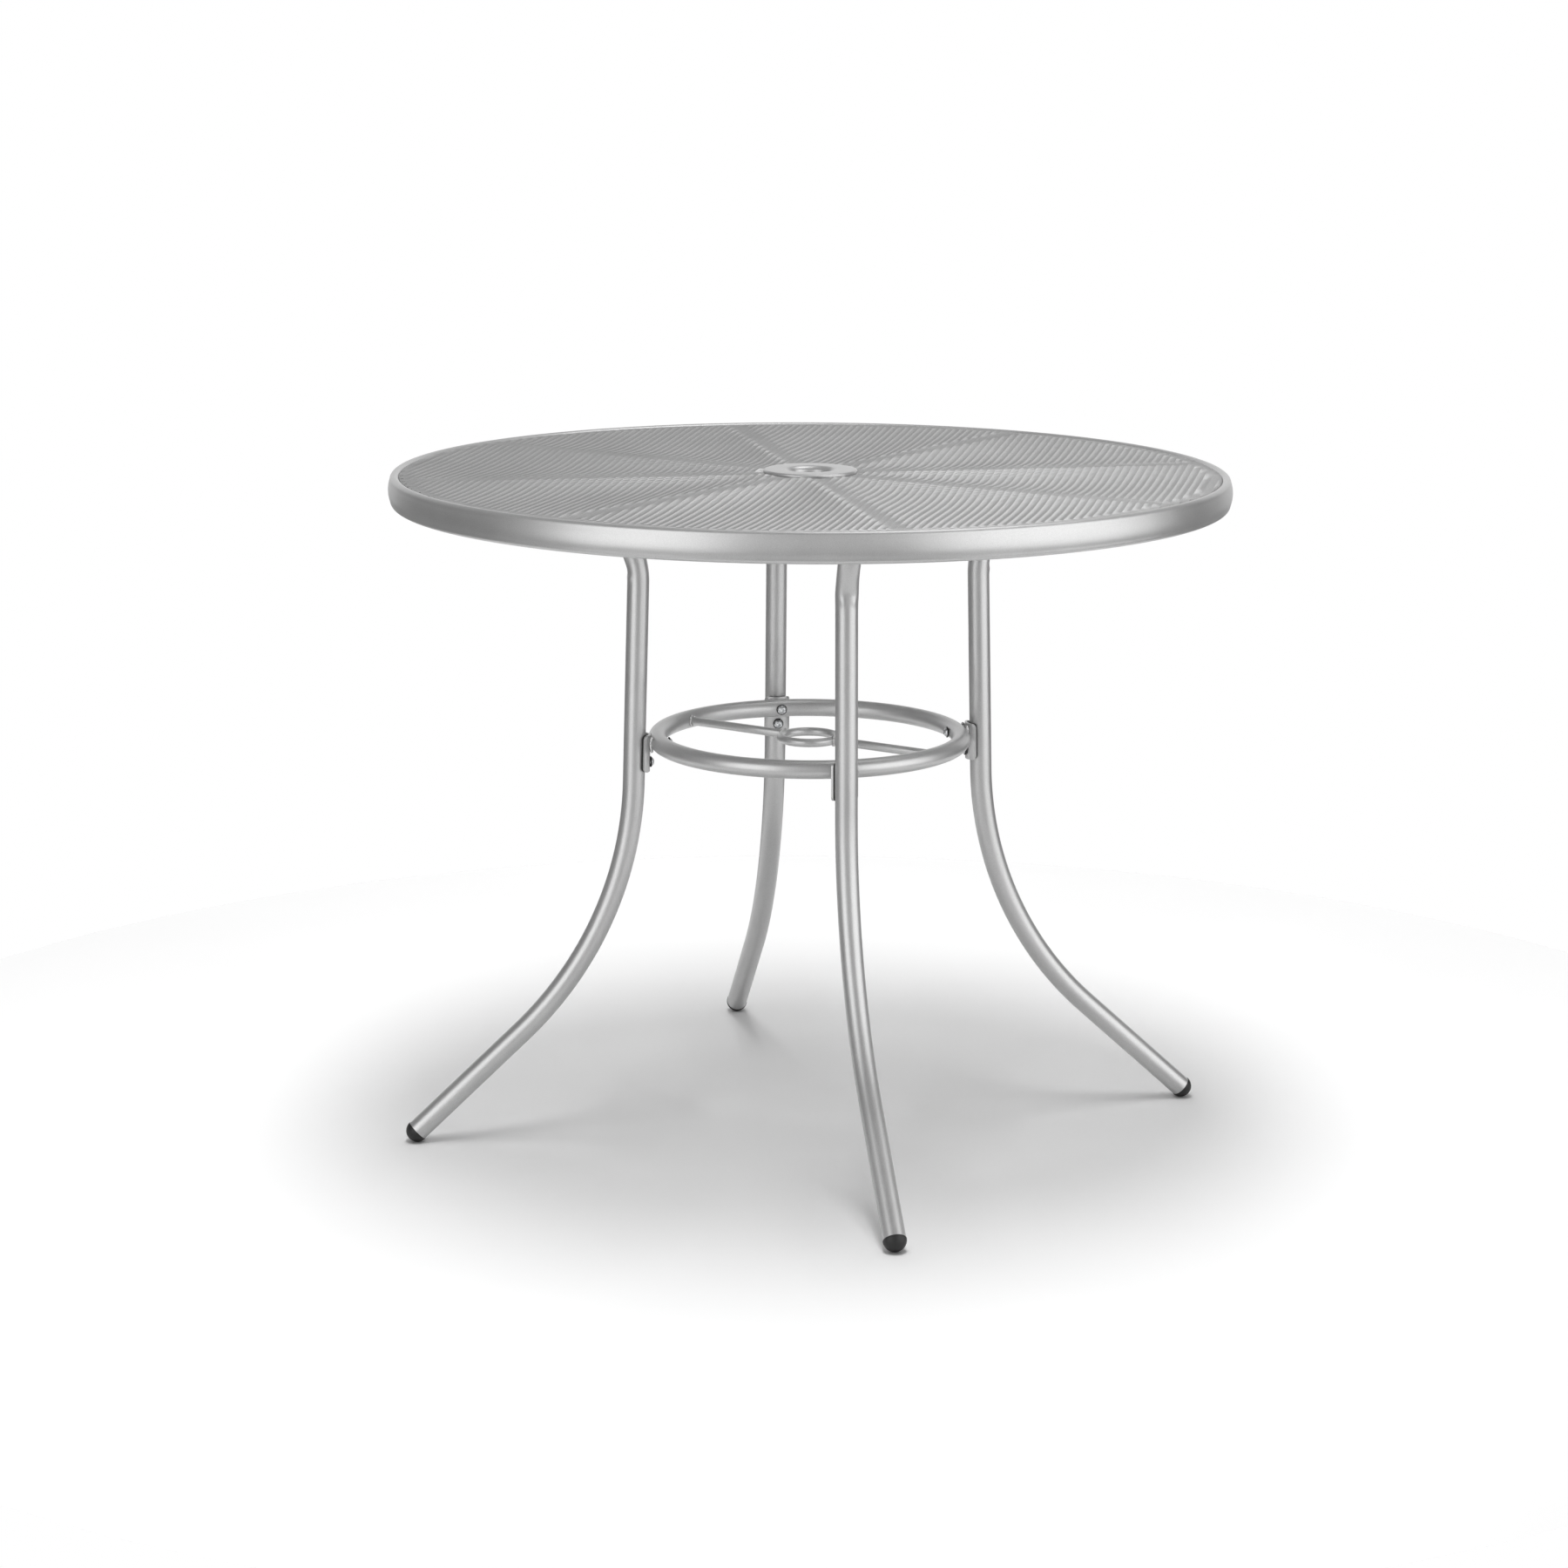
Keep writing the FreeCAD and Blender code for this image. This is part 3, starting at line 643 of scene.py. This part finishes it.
def make_hub_plate():
    bpy.ops.mesh.primitive_circle_add(vertices=128, radius=HUB_RADIUS, location=(0, 0, HUB_FOOT))
    plate = bpy.context.object
    bpy.ops.object.transform_apply(location=True)
    edit(plate)
    bpy.ops.mesh.select_all(action="SELECT")
    extrude_by((0, 0, HUB_CROWN - HUB_FOOT))
    bpy.ops.mesh.extrude_region_move()
    shrink = HOLE_RADIUS / HUB_RADIUS
    bpy.ops.transform.resize(value=(shrink, shrink, 1), center_override=(0, 0, 0))
    extrude_by((0, 0, NECK_BOTTOM - HUB_CROWN))
    pick(plate, "EDGE", on_circle(HUB_RADIUS, HUB_CROWN))
    bpy.ops.mesh.bevel(offset=HUB_EDGE_ROUND, segments=5)
    pick(plate, "EDGE", on_circle(HOLE_RADIUS, HUB_CROWN))
    bpy.ops.mesh.bevel(offset=LIP_RADIUS, segments=10)
    stop_editing()
    clean_normals(plate)
    inside_out = plate.data.polygons[0].normal.dot(plate.data.polygons[0].center) < 0
    apply_modifier(plate, "SOLIDIFY", thickness=SHEET_STEEL, offset=1.0 if inside_out else -1.0)
    clean_normals(plate)
    apply_modifier(plate, "BEVEL", width=0.0003, segments=2, limit_method="ANGLE",
                   angle_limit=radians(50))
    return finish_piece(plate, "hub_disc", silver, ("hub_plate",))


deselect_everything()
hub = make_hub_plate()
print("hub plate", [round(v, 4) for v in hub.dimensions])

# %% [markdown]
# ## Under the mesh
#
# Flat ribs run from a collar under the hub to a flat hoop inside the rim. They are cut from bar
# whose edges are never sharp once painted, so copies of the solids get a small bevel that
# catches a thin line of light.

# %% Ribs, hoop and collar
for index in range(RIB_COUNT):
    node = "rib_%03d" % (index * 360 // RIB_COUNT)
    rounded_copy(node, 0.0008, node + "_bar", silver)
rounded_copy("inner_hoop", 0.0006, "hoop_bar", silver)
rounded_copy("hub_collar", 0.0006, "collar_tube", silver)
print("ribs, hoop and collar done")

# %% [markdown]
# ## The legs
#
# Each leg is one 24 mm tube, bent twice: a tight bend under the top, where it turns outwards
# along a rib, and a long one at the knee, where it sweeps out to the foot. It could be a curve
# with a bevel, but a tube bender does just what spin does: it swings the tube's end round a
# centre. So a circle is extruded along the arm, spun round the shoulder, extruded down the
# post, spun round the knee and extruded to the foot.

# %% The centre line of a leg
LEG_RADIUS = 0.012
LEG_WALL = 0.0015
LEAN = radians(1.6)
SPLAY = radians(47.5)
ARM_END = Vector((0.400, 0, 0.7142))
SHOULDER_BEND = 0.093
KNEE_TOP = Vector((0.1964, 0, 0.398))
KNEE_BEND = 0.393
FOOT_HEIGHT = 0.0119

knee_centre = KNEE_TOP + Vector((KNEE_BEND * cos(LEAN), 0, KNEE_BEND * sin(LEAN)))
shoulder_low_z = ARM_END.z - SHOULDER_BEND * (1 + sin(LEAN))
shoulder_low_x = KNEE_TOP.x - (shoulder_low_z - KNEE_TOP.z) * tan(LEAN)
shoulder_centre = Vector((shoulder_low_x + SHOULDER_BEND * cos(LEAN), 0, ARM_END.z - SHOULDER_BEND))
knee_end = knee_centre - Vector((KNEE_BEND * cos(SPLAY), 0, KNEE_BEND * sin(SPLAY)))
foot_way = Vector((sin(SPLAY), 0, -cos(SPLAY)))
foot = knee_end + foot_way * ((knee_end.z - FOOT_HEIGHT) / cos(SPLAY))
print("shoulder", [round(v, 4) for v in shoulder_centre], "foot", [round(v, 4) for v in foot])


def post_x(height):
    """The leg's distance from the umbrella hole's axis, at a height on the straight post."""
    return KNEE_TOP.x - (height - KNEE_TOP.z) * tan(LEAN)


# %% Bend a leg
def swing(centre, angle, steps):
    """Spin what is selected round a line along Y, as a tube bender does."""
    bpy.ops.mesh.spin(steps=steps, angle=angle, center=tuple(centre), axis=(0, 1, 0))


FINE_STEP = 0.0015
FINE_STEPS = 10


def make_leg():
    bpy.ops.mesh.primitive_circle_add(vertices=48, radius=LEG_RADIUS, location=ARM_END,
                                      rotation=(0, radians(90), 0))
    leg = bpy.context.object
    bpy.ops.object.transform_apply(location=True, rotation=True)
    edit(leg)
    bpy.ops.mesh.select_all(action="SELECT")
    extrude_by((shoulder_centre.x - ARM_END.x, 0, 0))
    swing(shoulder_centre, radians(90) + LEAN, 100)
    down = KNEE_TOP - Vector((shoulder_low_x, 0, shoulder_low_z))
    for step in range(FINE_STEPS):
        extrude_by(down.normalized() * FINE_STEP)
    extrude_by(down - down.normalized() * FINE_STEP * FINE_STEPS)
    swing(knee_centre, SPLAY - LEAN, 40)
    extrude_by(foot - knee_end)
    stop_editing()
    clean_normals(leg)
    return leg


deselect_everything()
leg = make_leg()

# %% [markdown]
# ### The crimp under the shoulder
#
# A bender squeezes the inside of a tight bend. On these legs it leaves a shallow dish with a
# small fold below it, just where the bend starts, and the tube is a little wider there. The
# vertices near that place are pushed in by a smooth amount that fades out round and along.

# %% Push in the crimp, then give the tube its wall
DISH_HEIGHT = 0.6330
DISH_DEPTH = 0.0011
DISH_LENGTH = 0.0075
DISH_ANGLE = 0.55
FOLD_HEIGHT = 0.6245
FOLD_DEPTH = 0.0007
FOLD_LENGTH = 0.0036
FOLD_TURN = 0.48
FOLD_ANGLE = 0.22
WIDENING = 0.0004
WIDENING_LENGTH = 0.010


def fade(distance, width):
    return np.exp(-(distance / width) ** 2)


def crimp(leg):
    places = vertex_array(leg.data)
    x, y, z = places.T
    rise = z - shoulder_centre.z
    bend_x = shoulder_centre.x - np.sqrt(np.maximum(SHOULDER_BEND ** 2 - rise ** 2, 0))
    axis_x = np.where(z < shoulder_low_z, post_x(0) - (z * tan(LEAN)), bend_x)
    on_post = (x < shoulder_centre.x - 0.03) & (z > 0.5)
    round_angle = np.arctan2(y, x - axis_x)
    dish = DISH_DEPTH * fade(round_angle, DISH_ANGLE) * fade(z - DISH_HEIGHT, DISH_LENGTH)
    bumps = fade(np.abs(round_angle) - FOLD_TURN, FOLD_ANGLE) + 0.2 * fade(round_angle, 0.5)
    fold = FOLD_DEPTH * bumps * fade(z - FOLD_HEIGHT, FOLD_LENGTH)
    push = np.where(on_post, dish - fold, 0)
    wider = WIDENING * fade(z - DISH_HEIGHT, WIDENING_LENGTH) * np.abs(np.sin(round_angle))
    widen = np.where(on_post, wider, 0)
    places[:, 0] = x - push * np.cos(round_angle)
    places[:, 1] = y - push * np.sin(round_angle) + widen * np.sign(y)
    store_vertices(leg.data, places)


crimp(leg)
apply_modifier(leg, "SOLIDIFY", thickness=LEG_WALL, offset=-1.0)
for side, azimuth in LEG_SIDES.items():
    twin = turned_copy(leg, azimuth)
    finish_piece(twin, "leg_tube_" + side, silver, ("leg_" + side,))
remove(leg)
print("legs done")

# %% [markdown]
# ## Feet and plugs
#
# Each foot ends in a black moulded cap: half a ball, cut flat where it stands, on a stem that
# is pushed into the tube. A ball is bisected by the plane of the tube's end and by the floor,
# and the stem is extruded from the flat side. The arms' outer ends have flat plugs.

# %% Make the caps and plugs
CAP_RADIUS = 0.0125
STEM_RADIUS = 0.0104
STEM_LENGTH = 0.018


def make_foot_cap():
    bpy.ops.mesh.primitive_uv_sphere_add(segments=48, ring_count=24, radius=CAP_RADIUS,
                                         location=foot, rotation=(0, pi - SPLAY, 0))
    cap = bpy.context.object
    bpy.ops.object.transform_apply(location=True, rotation=True)
    edit(cap)
    bpy.ops.mesh.select_all(action="SELECT")
    bpy.ops.mesh.bisect(plane_co=tuple(foot), plane_no=tuple(-foot_way), clear_outer=True,
                        use_fill=True)
    bpy.ops.mesh.inset(thickness=CAP_RADIUS - STEM_RADIUS)
    extrude_by(-foot_way * STEM_LENGTH)
    bpy.ops.mesh.select_all(action="SELECT")
    bpy.ops.mesh.bisect(plane_co=(0, 0, 0), plane_no=(0, 0, -1), clear_outer=True, use_fill=True)
    stop_editing()
    clean_normals(cap)
    apply_modifier(cap, "BEVEL", width=0.0004, segments=2, limit_method="ANGLE",
                   angle_limit=radians(20))
    return cap


deselect_everything()
cap = make_foot_cap()
for side, azimuth in LEG_SIDES.items():
    twin = turned_copy(cap, azimuth)
    finish_piece(twin, "cap_" + side, black_plastic, ("foot_cap_" + side,))
    rounded_copy("arm_plug_" + side, 0.0008, "plug_" + side, black_plastic)
print("cap box", [round(v, 4) for v in cap.dimensions])
remove(cap)

# %% [markdown]
# ## The brace ring and the pole guide
#
# Both rings are round bar or tube bent into a hoop. A circle is stood upright at the ring's
# radius and spun once round the table's axis.

# %% Spin the rings
RING_RADIUS = 0.1678
RING_TUBE = 0.010
RING_HEIGHT = 0.4406
GUIDE_RADIUS = 0.031
ROD_RADIUS = 0.00475


def spun_ring(radius, tube, name, node, sides, steps):
    bpy.ops.mesh.primitive_circle_add(vertices=sides, radius=tube, rotation=(radians(90), 0, 0),
                                      location=(radius, 0, RING_HEIGHT))
    ring = bpy.context.object
    bpy.ops.object.transform_apply(location=True, rotation=True)
    edit(ring)
    bpy.ops.mesh.select_all(action="SELECT")
    bpy.ops.mesh.spin(steps=steps, angle=2 * pi, center=(0, 0, 0), axis=(0, 0, 1))
    stop_editing()
    clean_normals(ring)
    return finish_piece(ring, name, silver, (node,), smooth_below=60.0)


deselect_everything()
spun_ring(RING_RADIUS, RING_TUBE, "ring_tube", "brace_ring", 36, 180)
deselect_everything()
spun_ring(GUIDE_RADIUS, ROD_RADIUS, "guide_hoop", "guide_ring", 24, 96)
for side in ("left", "right"):
    rounded_copy("crossbar_" + side, 0.0003, "rod_" + side, silver)
print("rings and rods done")

# %% [markdown]
# ## Brackets and pads
#
# A saddle plate is welded to the ring at each leg, and a black pad keeps it off the leg's
# paint. Both are rolled plates with rounded corners, so copies of the solids get softened edges.

# %% Brackets and pads
for side in LEG_SIDES:
    rounded_copy("bracket_" + side, 0.0006, "saddle_" + side, silver)
    rounded_copy("bracket_pad_" + side, 0.0004, "pad_" + side, black_plastic)
print("brackets and pads done")

# %% [markdown]
# ## Weld beads
#
# A weld bead is a row of small frozen puddles, each partly over the last. Balls of slightly
# uneven size are strung along each seam and melted together by a voxel remesh. The seams are
# the grooves between the ring and each saddle, and the coped ends of the crossbar's rods. Each
# ball follows the width of the gap it fills, up to a limit that keeps the bead thin.

# %% Make a bead along a seam
SADDLE_OUTER = 0.0173
WELD_VOXEL = 0.0005
BALL_SIZES = (0.86, 1.14)
BALL_JITTER = 0.0003
SEAM_STEPS = 16
SEAM_REACH = 50
SEAM_SIDEWAYS = 0.0078
SEAM_SPREAD = 0.0012
BEAD_LEAST = 0.0005
BEAD_COVER = 0.0008
BEAD_MOST = 0.0021


def bead(name, seam, seed):
    """Balls along the seam, each a place and a radius, melted into one bead."""
    chance = random.Random(seed)
    deselect_everything()
    balls = []
    for place, radius in seam:
        size = radius * chance.uniform(*BALL_SIZES)
        jitter = Vector([chance.uniform(-BALL_JITTER, BALL_JITTER) for _ in range(3)])
        bpy.ops.mesh.primitive_ico_sphere_add(subdivisions=2, radius=size, location=place + jitter)
        balls.append(bpy.context.object)
    piece = join(balls)
    make_active(piece)
    bpy.ops.object.transform_apply(location=True, rotation=True, scale=True)
    apply_modifier(piece, "REMESH", mode="VOXEL", voxel_size=WELD_VOXEL)
    apply_modifier(piece, "SMOOTH", factor=0.5, iterations=3)
    return finish_piece(piece, name, weld_silver, smooth_below=80.0)


def saddle_seam(side):
    """The groove between the ring and the saddle at the leg on +X, on one side of the screw."""
    seam = []
    for step in range(SEAM_STEPS + 1):
        turn = radians(-SEAM_REACH + 2 * SEAM_REACH * step / SEAM_STEPS)
        sideways = side * (SEAM_SIDEWAYS + SEAM_SPREAD * abs(sin(turn)))
        height = RING_HEIGHT + RING_TUBE * sin(turn)
        ring_edge = sqrt((RING_RADIUS + RING_TUBE * cos(turn)) ** 2 - sideways ** 2)
        plate = post_x(height) - sqrt(SADDLE_OUTER ** 2 - sideways ** 2)
        gap = plate - ring_edge
        size = min(max(gap * 0.5, BEAD_LEAST) + BEAD_COVER, BEAD_MOST)
        seam.append((Vector(((plate + ring_edge) / 2, sideways, height)), size))
    return seam


def turn_seam(seam, azimuth):
    turn = Matrix.Rotation(radians(azimuth), 3, "Z")
    return [(turn @ place, radius) for place, radius in seam]


for number, (side, azimuth) in enumerate(LEG_SIDES.items()):
    for hand, way in (("a", -1), ("b", 1)):
        bead("weld_" + side + "_" + hand, turn_seam(saddle_seam(way), azimuth), 10 * number + way)
print("saddle welds done")

# %% [markdown]
# The rods are welded all round where they meet the guide and the brace ring. The seam is the
# line where a small cylinder meets a torus.

# %% Welds at the rods' ends
ROD_BALLS = 14
ROD_BEAD = 0.0016
ROD_BEAD_OUT = 0.0004
ROD_BEAD_WIDE = 1.08


def rod_seam(ring_radius, tube, outward):
    """Where a rod along +X meets a ring: -1 is inside the brace ring, +1 outside the guide."""
    seam = []
    for step in range(ROD_BALLS):
        turn = 2 * pi * step / ROD_BALLS
        y = ROD_RADIUS * cos(turn)
        z = ROD_RADIUS * sin(turn)
        reach = sqrt(max(tube ** 2 - z ** 2, 1e-9))
        x = sqrt((ring_radius + outward * reach) ** 2 - y ** 2)
        place = Vector((x + outward * ROD_BEAD_OUT, y * ROD_BEAD_WIDE,
                        RING_HEIGHT + z * ROD_BEAD_WIDE))
        seam.append((place, ROD_BEAD))
    return seam


for number, (side, azimuth) in enumerate((("left", 135.0), ("right", -45.0))):
    at_ring = turn_seam(rod_seam(RING_RADIUS, RING_TUBE, -1), azimuth)
    at_guide = turn_seam(rod_seam(GUIDE_RADIUS, ROD_RADIUS, 1), azimuth)
    bead("weld_rod_" + side, at_ring, 50 + number)
    bead("weld_guide_" + side, at_guide, 60 + number)
print("rod welds done")

# %% [markdown]
# ## Screws, washers and bolts
#
# The heads are small but they are what the eye looks for. Copies of the solids keep the domes
# and hexagon sockets, with their edges slightly rounded as forged parts are.

# %% Fasteners
for node in ("ring_screws", "bracket_screws", "arm_bolts"):
    rounded_copy(node, 0.00025, node + "_zinc", zinc)
for node in ("arm_bolt_washers", "leg_rivet_nuts"):
    rounded_copy(node, 0.00015, node + "_zinc", zinc)
for node in ("ring_screw_washers", "bracket_screw_washers"):
    rounded_copy(node, 0.0003, node + "_black", black_plastic)
print("fasteners done")

# %% [markdown]
# ## The floor and the light
#
# The table stands on a plain pale floor, a round sheet that runs into a white background. It has
# an upper face only, so the table can also be looked at from below.
#
# Silver paint shows what is round it, so the lights matter as much as the paint. Two tall
# softboxes draw the long highlights on each leg, a dim card in front fills the dark between them,
# and a card high above the far right side puts a sheen on the mesh. These four only show in
# reflections. A light behind the table is mirrored too, and it lights the far legs. One long oval
# lamp overhead lights the floor and the top, and gives the wide soft shadow. It hangs a little
# towards the camera with its long side along the view, and paint doesn't mirror it. The room has
# three brightnesses, because white behind the table would otherwise wash out the paint.

# %% Floor, world and lamps
FLOOR_RADIUS = 1.25
FLOOR_DROP = 0.0005


def make_floor():
    bpy.ops.mesh.primitive_circle_add(vertices=128, radius=FLOOR_RADIUS, fill_type="NGON",
                                      location=(0, 0, -FLOOR_DROP))
    floor = bpy.context.object
    floor.name = "floor"
    material, tree, surface, place = new_material("pale_floor")
    cloud = noise(tree, place, 1.5, 3.0)
    colour = blend_colours(tree, spread(tree, cloud, 0.0, 1.0), grey(0.88), grey(0.91))
    tree.links.new(colour, surface.inputs["Base Color"])
    surface.inputs["Roughness"].default_value = 1.0
    surface.inputs["Specular IOR Level"].default_value = 0.0
    side = tree.nodes.new("ShaderNodeNewGeometry")
    clear = tree.nodes.new("ShaderNodeBsdfTransparent")
    one_way = tree.nodes.new("ShaderNodeMixShader")
    tree.links.new(side.outputs["Backfacing"], one_way.inputs["Fac"])
    tree.links.new(surface.outputs["BSDF"], one_way.inputs[1])
    tree.links.new(clear.outputs["BSDF"], one_way.inputs[2])
    tree.links.new(one_way.outputs["Shader"], tree.nodes["Material Output"].inputs["Surface"])
    floor.data.materials.append(material)


def make_world(seen, mirrored, lighting):
    """Three brightnesses: what the camera sees, what paint mirrors and what lights the scene."""
    world = bpy.data.worlds.new("studio")
    bpy.context.scene.world = world
    world.use_nodes = True
    tree = world.node_tree
    tree.nodes.clear()
    path = tree.nodes.new("ShaderNodeLightPath")

    def even_light(brightness):
        node = tree.nodes.new("ShaderNodeBackground")
        node.inputs["Color"].default_value = (*grey(brightness), 1)
        return node.outputs["Background"]

    def choose(ray, otherwise, chosen):
        node = tree.nodes.new("ShaderNodeMixShader")
        tree.links.new(path.outputs[ray], node.inputs["Fac"])
        tree.links.new(otherwise, node.inputs[1])
        tree.links.new(chosen, node.inputs[2])
        return node.outputs["Shader"]

    room = choose("Is Glossy Ray", even_light(lighting), even_light(mirrored))
    output = tree.nodes.new("ShaderNodeOutputWorld")
    tree.links.new(choose("Is Camera Ray", room, even_light(seen)), output.inputs["Surface"])


def add_lamp(name, place, towards, width, tall, brightness, shape="RECTANGLE",
             mirrored=True, lights=True):
    """A flat lamp. Its power follows from its size, so brightness is what is seen in a mirror."""
    data = bpy.data.lights.new(name, "AREA")
    data.shape = shape
    data.size = width
    data.size_y = tall
    data.energy = brightness * pi * width * tall
    lamp = bpy.data.objects.new(name, data)
    bpy.context.scene.collection.objects.link(lamp)
    lamp.visible_camera = False
    lamp.visible_glossy = mirrored
    lamp.visible_diffuse = lights
    aim = (Vector(towards) - Vector(place)).to_track_quat("-Z", "Y")
    lamp.matrix_world = Matrix.Translation(place) @ aim.to_matrix().to_4x4()
    return lamp


def upright_lamp(name, azimuth, half_angle, distance, top, brightness, lights):
    """A lamp that stands on the floor and faces the table, as wide as the angle it fills."""
    turn = radians(azimuth)
    place = Vector((distance * cos(turn), distance * sin(turn), top / 2))
    width = 2 * distance * tan(radians(half_angle))
    return add_lamp(name, place, (0, 0, top / 2), width, top, brightness, lights=lights)


OVERHEAD_PLACE = Vector((-0.08, -0.38, 4.6))
OVERHEAD_TURN = radians(-11.7)
# name, azimuth, half angle, distance, height, brightness, whether it lights or only shows
UPRIGHT_LAMPS = (
    ("softbox_left", -142.0, 21.0, 1.8, 2.1, 1.8, False),
    ("softbox_right", -42.0, 31.0, 1.8, 2.3, 1.8, False),
    ("front_card", -97.0, 17.0, 1.9, 2.1, 0.33, False),
    ("backdrop_light", 78.0, 42.0, 3.2, 2.2, 0.75, True),
)

deselect_everything()
make_floor()
make_world(seen=1.0, mirrored=0.22, lighting=0.40)
for lamp in UPRIGHT_LAMPS:
    upright_lamp(*lamp)
overhead = add_lamp("overhead", OVERHEAD_PLACE, (0, 0, 0), width=1.2, tall=2.4, brightness=18.2,
                    shape="ELLIPSE", mirrored=False)
overhead.matrix_world = Matrix.Translation(OVERHEAD_PLACE) @ Matrix.Rotation(OVERHEAD_TURN, 4, "Z")
add_lamp("roof_card", (0.652, 0.376, 2.80), (0, 0, RIM_TOP), width=1.3, tall=1.3, brightness=2.3,
         lights=False)
